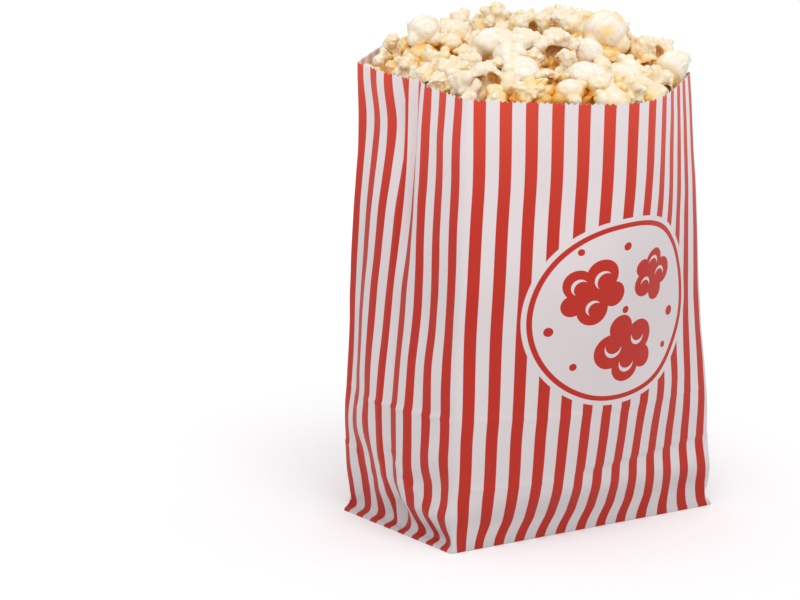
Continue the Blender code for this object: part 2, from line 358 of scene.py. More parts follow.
def new_material(name):
    """A material, with its nodes, its shader and a function that adds a node."""
    material = bpy.data.materials.new(name)
    material.use_nodes = True
    nodes = material.node_tree.nodes
    links = material.node_tree.links
    shader = nodes["Principled BSDF"]

    def add(kind, *inputs, **settings):
        """A node with its settings. An input is a value or another node's socket."""
        node = nodes.new(kind)
        for key, value in settings.items():
            setattr(node, key, value)
        for i, value in enumerate(inputs):
            if isinstance(value, bpy.types.NodeSocket):
                links.new(value, node.inputs[i])
            elif value is not None:
                node.inputs[i].default_value = value
        return node

    return material, shader, links, add


def math_node(add, operation, *inputs):
    return add("ShaderNodeMath", *inputs, operation=operation).outputs[0]


def ramp(add, value, low, high, start=0.0, end=1.0):
    """A value carried from one range to another, and held at its ends."""
    return add("ShaderNodeMapRange", value, low, high, start, end).outputs[0]


def noise_node(add, where, scale, detail):
    return add("ShaderNodeTexNoise", where, None, scale, detail).outputs[0]


def colour_mix(add, share, first, second):
    """The first colour where the share is 0, and the second where it is 1."""
    unused = (None,) * 5
    return add("ShaderNodeMix", share, *unused, first, second, data_type="RGBA").outputs[2]


def bumped(add, links, shader, height, strength, distance):
    """A fine relief on the surface."""
    bump = add("ShaderNodeBump", strength, distance)
    links.new(height, bump.inputs["Height"])
    links.new(bump.outputs[0], shader.inputs["Normal"])


around, heights, grid = sheet_points()
grid = folded_sheet(around, heights, grid)
normals = outward_of(grid)
lap = smooth_step(around, around[-1] - GLUE_OVERLAP - OVERLAP_EASE, around[-1] - GLUE_OVERLAP)
grid += normals * (lap * OVERLAP_LIFT)[None, :, None]

shape = bmesh.new()
print_layer = shape.loops.layers.uv.new("print")
rows = [[shape.verts.new(point) for point in row] for row in grid]
for r in range(len(heights) - 1):
    for c in range(len(around) - 1):
        face = shape.faces.new((rows[r][c], rows[r][c + 1], rows[r + 1][c + 1], rows[r + 1][c]))
        face.smooth = True
        for loop, (i, j) in zip(face.loops, ((r, c), (r, c + 1), (r + 1, c + 1), (r + 1, c))):
            tooth = TOOTH_DEPTH if i == len(heights) - 1 and j % 2 else 0
            loop[print_layer].uv = (around[j], heights[i] - tooth)

# Its base is the sheet's low end folded in flat: the ends of the two gussets first, then the back's flap, and
# the front's flap glued over them from below. Each goes in by half the depth of the base, and the flaps
# narrow at 45 degrees to the folds between them. A layer is given as (height, distance in from the folds).
FLAP_OVERLAP = 0.008
FRONT_FLAP = (0.00005, 0.0004)
BACK_FLAP = (0.00023, 0.0008)
GUSSET_ENDS = (0.00041, 0.0012)
half_wide = FACE_WIDTH / 2
half_deep = GUSSET_WIDTH / 2


def base_sheet(side, level, corners, places):
    """A flat sheet of the base, with the place on the print of each corner."""
    face = shape.faces.new([shape.verts.new((side * x, side * y, level)) for x, y in corners])
    for loop, (u, v) in zip(face.loops, places):
        loop[print_layer].uv = (u + (0 if side == 1 else HALF_ROUND), v)


for side, (level, inset) in ((1, FRONT_FLAP), (-1, BACK_FLAP)):
    wide = half_wide - inset
    deep = half_deep - inset
    narrow = wide - deep
    flap = ((wide, -deep), (-wide, -deep), (-narrow, 0), (-narrow, FLAP_OVERLAP))
    flap = (*flap, (narrow, FLAP_OVERLAP), (narrow, 0))
    base_sheet(side, level, flap, [(x + half_wide + BASE_SHEAR * MM, -half_deep - y) for x, y in flap])
    level, inset = GUSSET_ENDS
    wide = half_wide - inset
    deep = half_deep - inset
    end = ((0, -deep), (-wide, -deep), (-wide, deep), (0, deep))
    base_sheet(side, level, end, [(-half_deep - y, -half_wide - x) for x, y in end])

sheet_mesh = bpy.data.meshes.new("bag_paper")
shape.to_mesh(sheet_mesh)
shape.free()
bag_paper = new_piece("bag_paper", sheet_mesh)

# The print: even red stripes in gloss ink on white paper, and on each face a round white field with a red
# ring. In the field are three popped puffs, each with a few curls left white, and some dots. Lobes, curls and
# dots are (x, y, radius) in millimetres, and a puff is placed as (x, y, size, turn in degrees).
STRIPE_PITCH = 0.01077
STRIPE_SHARE = 0.48
STRIPE_EDGE = 0.012
FIRST_STRIPE = 0.0054
RED_INK = (0.505, 0.024, 0.012, 1)
# The red ink's lit copy, used towards the rim as painted light
RED_INK_PAINTED_LIT = (0.61, 0.054, 0.028, 1)
WHITE_PAPER = (0.722, 0.650, 0.665, 1)
FIELD_MIDDLE = (0.074, 0.110)
FIELD_WIDE = 0.048
FIELD_HIGH = 0.046
FIELD_EDGE = 0.002
RING_PLACE = 0.925
RING_HALF_WIDTH = 0.026
INK_EDGE = 0.0001
PUFF_LOBES = ((-5.5, 5, 6.2), (4.5, 6.5, 6.8), (8.5, -2.5, 5.2), (-1, -6.5, 6.6), (-9, -3, 4.4), (0, 0, 6))
PUFF_CURLS = ((-5.2, 4, 3.4), (4.6, 4.6, 3.8), (-0.6, -6, 3.2))
CURL_SHIFT = (1.0, -1.1)
PUFFS = ((-17, 11, 1.15, 10), (17, 15, 0.95, -50), (4, -18, 1.25, 130))
DOTS = (
    (-36, -6, 2.2),
    (-24, -24, 1.8),
    (34, -6, 2.4),
    (30, -22, 1.6),
    (-2, 32, 2.0),
    (-24, 31, 1.6),
    (1, 1, 1.8),
)

striped, shader, links, add = new_material("striped_paper")


def stripes_along(add, distance, edge):
    """The stripes over the distance round the sheet: 1 on a stripe and 0 between two, with a soft edge."""
    turns = math_node(add, "DIVIDE", math_node(add, "SUBTRACT", distance, FIRST_STRIPE), STRIPE_PITCH)
    off = math_node(add, "ABSOLUTE", math_node(add, "SUBTRACT", turns, math_node(add, "ROUND", turns)))
    return ramp(add, off, STRIPE_SHARE / 2 - edge, STRIPE_SHARE / 2 + edge, 1.0, 0.0)


place = add("ShaderNodeUVMap", uv_map="print").outputs[0]
distance, height, _ = add("ShaderNodeSeparateXYZ", place).outputs
stripes = stripes_along(add, distance, STRIPE_EDGE)
halves = math_node(add, "DIVIDE", math_node(add, "ADD", distance, GUSSET_WIDTH), HALF_ROUND)
halves = math_node(add, "MULTIPLY", math_node(add, "FLOOR", halves), HALF_ROUND)
spot_x = math_node(add, "SUBTRACT", math_node(add, "SUBTRACT", distance, halves), FIELD_MIDDLE[0])
spot_y = math_node(add, "SUBTRACT", height, FIELD_MIDDLE[1])
spot = add("ShaderNodeCombineXYZ", spot_x, spot_y).outputs[0]


def nearest_disc(discs):
    """How far the spot is outside the nearest of some discs, in metres."""
    result = None
    for x, y, radius in discs:
        away = add("ShaderNodeVectorMath", spot, (x * MM, y * MM, 0), operation="DISTANCE").outputs["Value"]
        outside = math_node(add, "SUBTRACT", away, radius * MM)
        result = outside if result is None else math_node(add, "MINIMUM", result, outside)
    return result


def turned_discs(discs, x, y, size, turn):
    """Discs carried to a place, and sized and turned there."""
    angle = math.radians(turn)
    result = []
    for a, b, radius in discs:
        across = a * math.cos(angle) - b * math.sin(angle)
        upward = a * math.sin(angle) + b * math.cos(angle)
        result.append((x + size * across, y + size * upward, size * radius))
    return result


red = nearest_disc([disc for puff in PUFFS for disc in turned_discs(PUFF_LOBES, *puff)] + list(DOTS))
curls = nearest_disc([disc for puff in PUFFS for disc in turned_discs(PUFF_CURLS, *puff)])
shifted = [(x + CURL_SHIFT[0], y + CURL_SHIFT[1], radius) for x, y, radius in PUFF_CURLS]
filled = nearest_disc([disc for puff in PUFFS for disc in turned_discs(shifted, *puff)])
curls = math_node(add, "MAXIMUM", curls, math_node(add, "MULTIPLY", filled, -1.0))
red = math_node(add, "MAXIMUM", red, math_node(add, "MULTIPLY", curls, -1.0))
across = (1 / FIELD_WIDE, 1 / FIELD_HIGH, 0)
reach = add("ShaderNodeVectorMath", spot, across, operation="MULTIPLY").outputs[0]
reach = add("ShaderNodeVectorMath", reach, operation="LENGTH").outputs["Value"]
ring = math_node(add, "ABSOLUTE", math_node(add, "SUBTRACT", reach, RING_PLACE))
ring = math_node(add, "MULTIPLY", math_node(add, "SUBTRACT", ring, RING_HALF_WIDTH), FIELD_WIDE)
red = math_node(add, "MINIMUM", red, ring)
red = ramp(add, red, -INK_EDGE, INK_EDGE, 1.0, 0.0)
field = ramp(add, reach, 1 - FIELD_EDGE, 1 + FIELD_EDGE, 1.0, 0.0)
ink = add("ShaderNodeMix", field, None, stripes, red, data_type="FLOAT").outputs[0]

# The paper is painted paler, and its red ink brighter, towards the rim as painted light, and a little
# greyer towards the base as painted shade
LIT_FROM = 0.150
PAINTED_LIGHT_FROM = 0.120
PAINTED_LIGHT = (0.96, 1.20)
BASE_SHADE_TO = 0.024
BASE_SHADE = 0.76
FIBRES = (900.0, 3.0)
FIBRE_RELIEF = (0.05, 0.0002)
redness = colour_mix(add, ramp(add, height, LIT_FROM, PAPER_HEIGHT), RED_INK, RED_INK_PAINTED_LIT)
colour = colour_mix(add, ink, WHITE_PAPER, redness)
shade = ramp(add, height, PAINTED_LIGHT_FROM, PAPER_HEIGHT, *PAINTED_LIGHT)
shade = math_node(add, "MULTIPLY", shade, ramp(add, height, 0.0, BASE_SHADE_TO, BASE_SHADE, 1.0))
colour = add("ShaderNodeVectorMath", colour, operation="SCALE")
links.new(shade, colour.inputs["Scale"])
links.new(colour.outputs[0], shader.inputs["Base Color"])
fibres = noise_node(add, add("ShaderNodeTexCoord").outputs["Object"], *FIBRES)
bumped(add, links, shader, fibres, *FIBRE_RELIEF)
shader.inputs["Roughness"].default_value = 0.5
shader.inputs["Specular IOR Level"].default_value = 0.25
bag_paper.data.materials.append(striped)

# The paper's bare white inside, where the stripes show through faintly
INNER_WHITE = (0.88, 0.85, 0.88, 1)
INNER_STRIPE = (0.80, 0.55, 0.55, 1)
INNER_EDGE = 0.04
inner, shader, links, add = new_material("inner_paper")
place = add("ShaderNodeUVMap", uv_map="print").outputs[0]
ghost = stripes_along(add, add("ShaderNodeSeparateXYZ", place).outputs[0], INNER_EDGE)
links.new(colour_mix(add, ghost, INNER_WHITE, INNER_STRIPE), shader.inputs["Base Color"])
shader.inputs["Roughness"].default_value = 0.7
bag_paper.data.materials.append(inner)

SHARP_FROM = math.radians(40)
wall = bag_paper.modifiers.new("paper", "SOLIDIFY")
wall.thickness = PAPER_THICKNESS
wall.offset = -1
wall.material_offset = 1
wall.material_offset_rim = 1
applied(bag_paper)
bag_paper.data.shade_smooth()
bag_paper.data.set_sharp_from_angle(angle=SHARP_FROM)
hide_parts("paper_bag")
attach(bag_paper, "root")

# The popcorn's core: what lies deep in the bag, seen only in the gaps between the kernels on top. It fills
# the bag a hair short of the paper and rises in a low lumpy dome, and the loose kernels are heaped on it.
OUTLINE_POINTS = 92
HEAP_EDGE = 0.204
DOME_RISE = 0.021
DOME_REACH = 0.022
LUMP_STEEPNESS = 3.5
CORE_POINTS = 184
CORE_BASE = 0.0012
CORE_FOOT = 0.004
CORE_STEP = 0.003
CORE_HEIGHTS = (0.078, 0.086, 0.1, 0.113, 0.125, 0.138, 0.15, 0.16, 0.166, 0.172, 0.178, 0.184, 0.19)
CORE_GAP = 0.0018
CORE_SHRINK = 0.96
CORE_DEPTH = 0.011
CORE_RINGS = 26
OUTER_RING = 0.97
INNER_RING = 0.03
CORE_LUMP = 0.009
CORE_LUMP_HEIGHT = 0.004
CORE_LUMP_LEVEL = 0.6
CORE_LUMPS_START = (0.002, 0.008)


def places_round(count):
    """Even distances round the sheet, from the back left corner all the way round."""
    return -GUSSET_WIDTH + 2 * HALF_ROUND * np.arange(count) / count


def outline_at(height):
    """The paper's section at a height, before its folds, as a closed outline of points in the plane."""
    return np.stack(section_points(height, places_round(OUTLINE_POINTS)), axis=1)


def nearest_on(outline, points):
    """For each point in the plane, its distance from an outline and the nearest place there."""
    best = np.full(len(points), 1.0)
    feet = np.zeros((len(points), 2))
    for start, end in zip(outline, np.roll(outline, -1, axis=0)):
        run = end - start
        along = np.clip((points - start) @ run / (run @ run), 0, 1)
        foot = start + along[:, None] * run
        far = np.linalg.norm(points - foot, axis=1)
        closer = far < best
        best[closer] = far[closer]
        feet[closer] = foot[closer]
    return best, feet


def inside(outline, points):
    """Which points in the plane lie inside an outline."""
    result = np.zeros(len(points), dtype=bool)
    for a, b in zip(outline, np.roll(outline, -1, axis=0)):
        if a[1] == b[1]:
            continue
        level = (a[1] > points[:, 1]) != (b[1] > points[:, 1])
        cross = a[0] + (points[:, 1] - a[1]) / (b[1] - a[1]) * (b[0] - a[0])
        result ^= level & (points[:, 0] < cross)
    return result


RIM = outline_at(PAPER_HEIGHT)


def dome_height(points):
    """The heap's own height over places in the plane: it rises quickly from the paper to a broad crown."""
    rise = DOME_RISE * (1 - np.exp(-nearest_on(RIM, points)[0] / DOME_REACH))
    return standing_height(HEAP_EDGE, points[:, 0], points[:, 1]) + rise


def lumps(points, size):
    """Rounded lumps of about one size, from 0 in the creases between them to 1 on top."""
    heights = np.zeros(len(points))
    for i, point in enumerate(points):
        far = noise.voronoi(Vector(point) / size)[0]
        heights[i] = 1 - math.exp(-(far[1] - far[0]) * LUMP_STEEPNESS)
    return heights


def closed_loft(name, rings, crown):
    """A closed mesh from rings of points, each above the last, with a flat base and a crown point."""
    shape = bmesh.new()
    rows = [[shape.verts.new(point) for point in ring] for ring in rings]
    for low, high in zip(rows, rows[1:]):
        for i in range(len(low)):
            j = (i + 1) % len(low)
            shape.faces.new((low[i], low[j], high[j], high[i]))
    shape.faces.new(list(reversed(rows[0])))
    top = shape.verts.new(crown)
    for i, vertex in enumerate(rows[-1]):
        shape.faces.new((vertex, rows[-1][(i + 1) % len(rows[-1])], top))
    mesh = bpy.data.meshes.new(name)
    shape.to_mesh(mesh)
    shape.free()
    mesh.shade_smooth()
    return mesh


core_levels = np.concatenate([np.arange(CORE_FOOT, LOW_ROWS_TOP, CORE_STEP), CORE_HEIGHTS])
core_sides = sheet_at(places_round(CORE_POINTS), core_levels)
core_sides -= outward_of(core_sides) * CORE_GAP
core_sides[..., :2] *= CORE_SHRINK
core_sides[0, :, 2] = CORE_BASE
core_rings = [*core_sides]
edge = core_sides[-1, :, :2]
heap_middle = RIM.mean(axis=0)
for share in np.linspace(OUTER_RING, INNER_RING, CORE_RINGS):
    flat = heap_middle + (edge - heap_middle) * share
    ring = np.column_stack([flat, dome_height(flat) - CORE_DEPTH])
    lumpy = lumps(ring, CORE_LUMP) - CORE_LUMP_LEVEL
    ring[:, 2] += CORE_LUMP_HEIGHT * lumpy * smooth_step(nearest_on(RIM, flat)[0], *CORE_LUMPS_START)
    core_rings.append(ring)
crown = (*heap_middle, core_rings[-1][:, 2].mean())
popcorn_core = new_piece("popcorn_core", closed_loft("popcorn_core", core_rings, crown))

# The core is painted amber as painted shade, the shade that falls deep in the heap between the kernels, in
# patches, with a fine crumb
DEEP_SHADE_DARK = (0.62, 0.27, 0.045, 1)
DEEP_SHADE_PALE = (0.80, 0.52, 0.20, 1)
DEEP_PATCHES = (140.0, 4.0)
DEEP_PATCH_EDGE = (0.35, 0.65)
DEEP_CRUMB = (500.0, 4.0)
DEEP_RELIEF = (0.4, 0.0008)
deep, shader, links, add = new_material("deep_popcorn")
where = add("ShaderNodeTexCoord").outputs["Object"]
patches = ramp(add, noise_node(add, where, *DEEP_PATCHES), *DEEP_PATCH_EDGE)
links.new(colour_mix(add, patches, DEEP_SHADE_DARK, DEEP_SHADE_PALE), shader.inputs["Base Color"])
bumped(add, links, shader, noise_node(add, where, *DEEP_CRUMB), *DEEP_RELIEF)
shader.inputs["Roughness"].default_value = 0.6
popcorn_core.data.materials.append(deep)
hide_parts("popcorn_heap")
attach(popcorn_core, "root")

# The popcorn itself. Each kernel has burst into a few soft lobes, cream white where they swelled, painted
# yellow in their creases as painted shade, and amber in the hollow where the hull is left. Nine kinds are
# made, by lobes and hollows given as (x, y, z, half width, half depth, half height) in millimetres, front to
# -Y, and heaped.
KERNEL_VOXEL = 0.00078
BUD_SIZE = (1.4, 2.9)
BUD_SHAPE = (0.75, 1.1)
BUD_PLACE = 0.93
BUD_BURIED = 0.35
CREASE_WIDTH = 0.0007
HULL_EDGE = (-0.0007, 0.0002)
HOLLOW_RIM_EDGE = (-0.0032, 0.0)
BULGE_SIZE = 0.0046
FOLD_SIZE = 0.0056
FOLD_HALF_WIDTH = 0.10
SWELL_SIZE = 0.0065
WRINKLE_SIZE = 0.0017

# How far each of these moves the surface, in millimetres. Bulges and folds grow with a kernel's puff.
BULGE_DEPTH = 1.3
SWELL_HEIGHT = 0.9
WRINKLE_HEIGHT = 0.14
CREASE_DEPTH = 0.45
FOLD_DEPTH = 0.15
FOLD_DEPTH_PUFFED = 0.8
HULL_SWELL = 1.1
HULL_WRINKLE = 0.8

# How much a fold and the gaps between bulges count as creases, which the finish paints yellow as painted
# shade
CREASED_BY_FOLD = 0.8
CREASED_BY_BULGES = 1.4

# A kind is its lobes, its hollows, how puffed it is and how many buds it has
KERNELS = {
    "dome": (
        (
            (0, 0, 1.5, 10.5, 8.5, 7),
            (-6.5, -2, -2.5, 5, 5, 5),
            (6, -2.5, -3, 5.2, 4.6, 4.4),
            (0, 5, -3, 7, 5.5, 5),
            (8, 2, 1.5, 4.2, 4, 4),
            (-3, -1, -5, 5, 4.5, 4),
        ),
        ((1, -7.2, -7.0, 4.4, 3.0, 2.4),),
        0.22,
        4,
    ),
    "ball": (
        (
            (0, 0, 0.5, 8.6, 8.2, 7.8),
            (-5.5, -2.5, 6.2, 3, 2.6, 2.8),
            (3, 4, -5, 5.5, 5, 4.5),
            (-5, 3, -4, 5, 5, 4),
            (6, -1, -5, 3.6, 3.6, 3.4),
        ),
        ((-6.5, -5.5, -6.5, 2.8, 2.6, 2.2),),
        0.18,
        3,
    ),
    "hood": (
        (
            (-6.2, -1, 3.4, 4.6, 4.2, 3.8),
            (0, -1.5, 5.6, 5.6, 4.6, 4),
            (6.4, -0.5, 3.2, 4.6, 4.4, 3.8),
            (-5, -1.5, -5, 5.6, 5, 4.4),
            (4.5, -0.5, -5.4, 5.2, 4.8, 4.2),
            (0, 5, -0.5, 8, 5.5, 6.5),
        ),
        ((0.5, -5.6, 0.2, 4.4, 4.6, 2.4), (-2.6, -5.4, 1.6, 2.2, 3.4, 1.8)),
        0.5,
        16,
    ),
    "pitted": (
        (
            (-8.2, -1, -0.5, 4.6, 5, 5.2),
            (8.4, -1.5, -0.5, 5.6, 5.4, 6),
            (0, 1.5, 4, 5.4, 4.6, 3.6),
            (-1, 0, -4.6, 7, 5, 3.8),
            (0, 5, 0, 8, 5, 5),
        ),
        ((-2.8, -4.6, 0.6, 2.7, 3.8, 2.2), (2.8, -4.8, 2.0, 2.0, 3.8, 2.2)),
        0.5,
        14,
    ),
    "oval": (
        (
            (1, 0, 0, 9.5, 6.4, 6.2),
            (-8, 1, -1.5, 4.6, 4.8, 4.6),
            (5, 3.5, -3.5, 5.5, 5, 4.4),
            (-3, 4, 2, 5, 4.5, 4),
        ),
        ((-6.5, -4.5, -6.0, 2.6, 2.2, 2.0),),
        0.22,
        4,
    ),
    "wing": (
        (
            (4, 0, 2, 8.5, 4.2, 5.4),
            (-5, 1, -1, 6, 5, 4.6),
            (9, 1.5, 5, 4, 3.2, 3.6),
            (-9, 0, 3, 3.4, 3.2, 3.8),
            (1, 4, -4, 6, 4.4, 4),
        ),
        ((-1.8, -4, 4.0, 2.5, 2.8, 2.0),),
        0.7,
        16,
    ),
    "crumb": (
        (
            (5, 0, 3, 4.6, 4.4, 4.2),
            (-5, -1, 3.4, 4.4, 4.2, 4),
            (0, -4.5, 1, 5, 4.2, 4.4),
            (0, 4.5, 2, 5, 4.6, 4.4),
            (0, 0, 5.8, 4.2, 4.4, 3.8),
            (7, -1, -3, 3.8, 3.8, 3.6),
            (-7, 1, -2.6, 4.2, 4, 4),
            (2, -5, -4, 4, 3.4, 3.4),
            (-3, 4, -4, 4.4, 4.2, 4),
            (3.6, 4, -3.6, 4.2, 4, 3.8),
            (-4, -4, -3.6, 3.6, 3.4, 3.4),
        ),
        ((4.6, -5.4, 0.2, 2, 2.4, 1.8),),
        0.7,
        12,
    ),
    "curl": (
        (
            (-5.5, 0, -1, 4.4, 4.4, 4.6),
            (-4, 0, 4, 4, 4, 3.8),
            (0.5, 0, 6.4, 4, 3.8, 3.2),
            (5, 0, 4, 3.2, 3.6, 3.4),
            (6.2, -0.5, 0, 2.8, 3.2, 3.2),
            (-1, 2, -4.4, 6.4, 5, 4.2),
            (0, 4.5, 1, 6.4, 4.2, 5),
        ),
        ((0.8, -2.6, 1.4, 3.0, 4.4, 2.5),),
        0.5,
        14,
    ),
    "split": (
        (
            (-5.4, 0, 0.6, 6.2, 7, 6.6),
            (5.6, -0.6, 0.2, 6, 6.6, 6.4),
            (0.4, 4.4, -3, 6, 5, 4.6),
            (0, -1.5, -5.4, 5, 4.4, 3.4),
            (0.4, 0, 4.4, 3.4, 4.6, 2.8),
        ),
        ((0.2, -6.6, 0.4, 1.7, 3.2, 3),),
        0.6,
        12,
    ),
}


def ellipsoids_of(name, rows):
    """A mesh object of overlapping ellipsoids."""
    shape = bmesh.new()
    for row in rows:
        place = Matrix.Translation(Vector(row[:3]) * MM) @ Matrix.Diagonal((*(r * MM for r in row[3:]), 1))
        bmesh.ops.create_icosphere(shape, subdivisions=3, radius=1, matrix=place)
    mesh = bpy.data.meshes.new(name)
    shape.to_mesh(mesh)
    shape.free()
    return new_piece(name, mesh)


def depths_in(points, rows):
    """How deep each point is in each ellipsoid, as about a distance, and less than 0 outside."""
    result = []
    for row in rows:
        radii = np.array(row[3:]) * MM
        reach = np.linalg.norm((points - np.array(row[:3]) * MM) / radii, axis=1)
        result.append((1 - reach) * radii.min())
    return np.array(result)


def budded(name, lobes, count):
    """The lobes with small buds on them, by a seeded draw."""
    draw = random.Random(name)
    rows = list(lobes)
    while len(rows) < len(lobes) + count:
        x, y, z, wide, deep, high = draw.choice(lobes)
        way = Vector([draw.gauss(0, 1) for _ in range(3)]).normalized() * BUD_PLACE
        size = draw.uniform(*BUD_SIZE)
        centre = (x + way.x * wide, y + way.y * deep, z + way.z * high)
        buried = depths_in(np.array([centre]) * MM, rows).max() / MM
        if buried < BUD_BURIED * size:
            rows.append((*centre, size, size * draw.uniform(*BUD_SHAPE), size * draw.uniform(*BUD_SHAPE)))
    return rows


def noise_over(points, size, shift=(0, 0, 0)):
    """Smooth noise of about one size at each point, from -1 to 1."""
    return np.array([noise.noise(Vector(point) / size + Vector(shift)) for point in points])


def points_of(mesh, key="co"):
    """A mesh's points, or its normals at them, as rows of three."""
    values = np.zeros(len(mesh.vertices) * 3)
    mesh.vertices.foreach_get(key, values)
    return values.reshape(-1, 3)


def keep_on(piece, key, values):
    """Keeps a value for each point of a piece, under a name that its material reads."""
    layer = piece.data.attributes.new(key, "FLOAT", "POINT")
    layer.data.foreach_set("value", values.astype(np.float32))


def burst_kernel(name, lobes, hollows, puff, buds):
    """A kernel: its lobes and buds in one skin, less its hollows, softened, and then puffed and creased."""
    lobes = budded(name, lobes, buds)
    kernel = ellipsoids_of(name, lobes)
    cutters = [ellipsoids_of("hollow", [row]) for row in hollows]
    for step, tool in enumerate(("skin", *cutters, "lips")):
        if isinstance(tool, str):
            remesh = kernel.modifiers.new(tool, "REMESH")
            remesh.mode = "VOXEL"
            remesh.voxel_size = KERNEL_VOXEL
            continue
        cut = kernel.modifiers.new(f"hollow_{step}", "BOOLEAN")
        cut.operation = "DIFFERENCE"
        cut.solver = "MANIFOLD"
        cut.object = tool
    soft = kernel.modifiers.new("soft", "SMOOTH")
    soft.factor = 0.5
    soft.iterations = 1
    applied(kernel)
    for cutter in cutters:
        bpy.data.objects.remove(cutter)
    mesh = kernel.data
    points = points_of(mesh)
    normals = points_of(mesh, "normal")
    in_lobes = np.sort(depths_in(points, lobes), axis=0)
    crease = np.exp(-np.abs(in_lobes[-2]) / CREASE_WIDTH)
    in_hollow = depths_in(points, hollows).max(axis=0)
    brown = smooth_step(in_hollow, *HULL_EDGE)
    hollow_rim = smooth_step(in_hollow, *HOLLOW_RIM_EDGE)
    bulges = lumps(points + len(name), BULGE_SIZE)
    fold = 1 - smooth_step(np.abs(noise_over(points, FOLD_SIZE, (7, 3, len(name)))), 0.0, FOLD_HALF_WIDTH)
    swell = noise_over(points, SWELL_SIZE)
    wrinkle = noise_over(points, WRINKLE_SIZE)
    move = BULGE_DEPTH * puff * (bulges - 1) + SWELL_HEIGHT * swell + WRINKLE_HEIGHT * wrinkle
    move = move - CREASE_DEPTH * crease - (FOLD_DEPTH + FOLD_DEPTH_PUFFED * puff) * fold
    move += brown * (HULL_SWELL * swell + HULL_WRINKLE * wrinkle)
    points += normals * (move * MM)[:, None]
    mesh.vertices.foreach_set("co", points.ravel())
    crease = np.maximum(np.maximum(crease, CREASED_BY_FOLD * fold), (1 - bulges) * puff * CREASED_BY_BULGES)
    # The creases, with the ring round each hollow, are kept for the finish, which paints them yellow as
    # painted shade
    keep_on(kernel, "crease", np.maximum(crease, hollow_rim))
    keep_on(kernel, "brown", brown)
    mesh.shade_smooth()
    mesh.update()
    return kernel


kernels = {kind: burst_kernel(kind, *form) for kind, form in KERNELS.items()}

# The kernels that show most, as (kind, x, y, height over the dome, size, tilt, turn) in millimetres and
# degrees. A kernel that isn't turned has its front to the corner between the front and the left gusset.
FACING = -33.8
SHOWN = (
    ("crumb", -50.6, 27.3, -5.0, 0.70, 0, 195),
    ("crumb", -52.7, 15.9, 0.0, 0.75, 10, 40),
    ("oval", -43.8, 19.3, 1.0, 0.80, -20, -20),
    ("ball", -31.4, 16.3, 1.0, 0.62, 0, 10),
    ("split", -33.3, 28.8, 2.4, 0.80, 20, 30),
    ("dome", -40.4, 22.8, 8.0, 0.80, -10, 10),
    ("split", -10.9, 40.7, 0.4, 0.85, 0, -20),
    ("crumb", -47.0, -9.9, 1.0, 1.00, 0, 0),
    ("dome", -21.2, -3.1, 2.0, 1.12, 5, -5),
    ("pitted", -45.7, -30.4, 0.0, 1.10, 10, 0),
    ("ball", -30.1, -34.2, 0.0, 1.00, -10, 0),
    ("hood", -12.8, -10.2, 2.0, 0.85, 10, 160),
    ("wing", 1.5, 26.0, 1.0, 0.95, 0, 0),
    ("crumb", -6.6, 16.9, 8.0, 0.80, 0, 70),
    ("split", -1.1, 0.4, 7.0, 0.90, 25, 20),
    ("crumb", 15.9, 7.7, 6.5, 0.95, 0, 120),
    ("dome", 17.3, 11.7, 2.7, 1.10, 0, 20),
    ("hood", -6.2, -26.1, 1.3, 1.05, 5, 0),
    ("crumb", -17.9, -26.5, 1.0, 0.60, 0, 60),
    ("curl", 14.1, -15.6, 9.5, 0.90, 0, 120),
    ("dome", 19.9, -25.5, 8.5, 1.10, 0, 15),
    ("curl", 30.0, -20.0, 8.5, 0.75, 0, 150),
    ("ball", 4.8, -34.5, 1.9, 0.85, 10, -60),
    ("oval", -8.3, -48.5, 0.0, 1.15, -25, -10),
    ("hood", -23.1, -42.1, 0.0, 0.60, 15, 0),
    ("oval", 9.7, -51.5, 1.2, 0.85, 0, 5),
    ("wing", 29.0, -29.9, 1.8, 1.00, 10, -10),
    ("pitted", 33.4, -38.7, 1.4, 0.80, 0, 10),
    ("split", 40.7, -32.6, 6.5, 0.90, 0, 30),
    ("dome", 44.3, -43.1, 6.5, 0.95, -10, 30),
    ("crumb", 25.4, -53.2, 1.0, 1.00, 20, 0),
    ("crumb", 6.0, -61.9, 0.0, 0.90, 0, 90),
    ("ball", -19.5, -53.3, -1.0, 0.85, 20, 150),
    ("curl", -6.4, -56.4, -0.8, 0.80, 20, 160),
    ("crumb", -33.6, -44.7, -1.0, 0.80, 0, 200),
    ("oval", -26.3, -48.0, -1.0, 0.60, 0, 60),
    ("crumb", -53.6, -8.5, 0.5, 0.80, 0, 250),
    ("split", -38.1, -8.0, 1.8, 0.70, 0, 90),
    ("hood", 14.0, -6.0, 9.0, 0.80, 0, 200),
    ("split", 24.0, -14.0, 9.0, 0.80, 0, 60),
    ("hood", -31.0, -19.0, -4.0, 0.80, 10, 0),
)

# The rest of the heap: a seeded draw fills the gaps between those, in three layers. The last, with smaller
# kernels, goes up to the paper. A layer is (most kernels, depth under the dome, spacing, sizes, distance from
# the rim, distance from the narrower neck below it), in metres.
LAYERS = (
    (70, 0.0015, 0.0105, (0.72, 1.05), 0.0075, 0.0),
    (60, 0.0080, 0.0104, (0.72, 1.05), 0.0075, 0.0075),
    (40, 0.0050, 0.0084, (0.55, 0.75), 0.0045, 0.0060),
)
DRAW_REACH = 0.08
DRAWS = 6000
NECK = outline_at(0.188)
SQUASH = (0.84, 1.14)
KERNEL_SEED = 11
chance = random.Random(KERNEL_SEED)


def squashed(size):
    """A kernel's size along its own three axes: no two are quite alike."""
    return [size * chance.uniform(*SQUASH) for _ in range(3)]


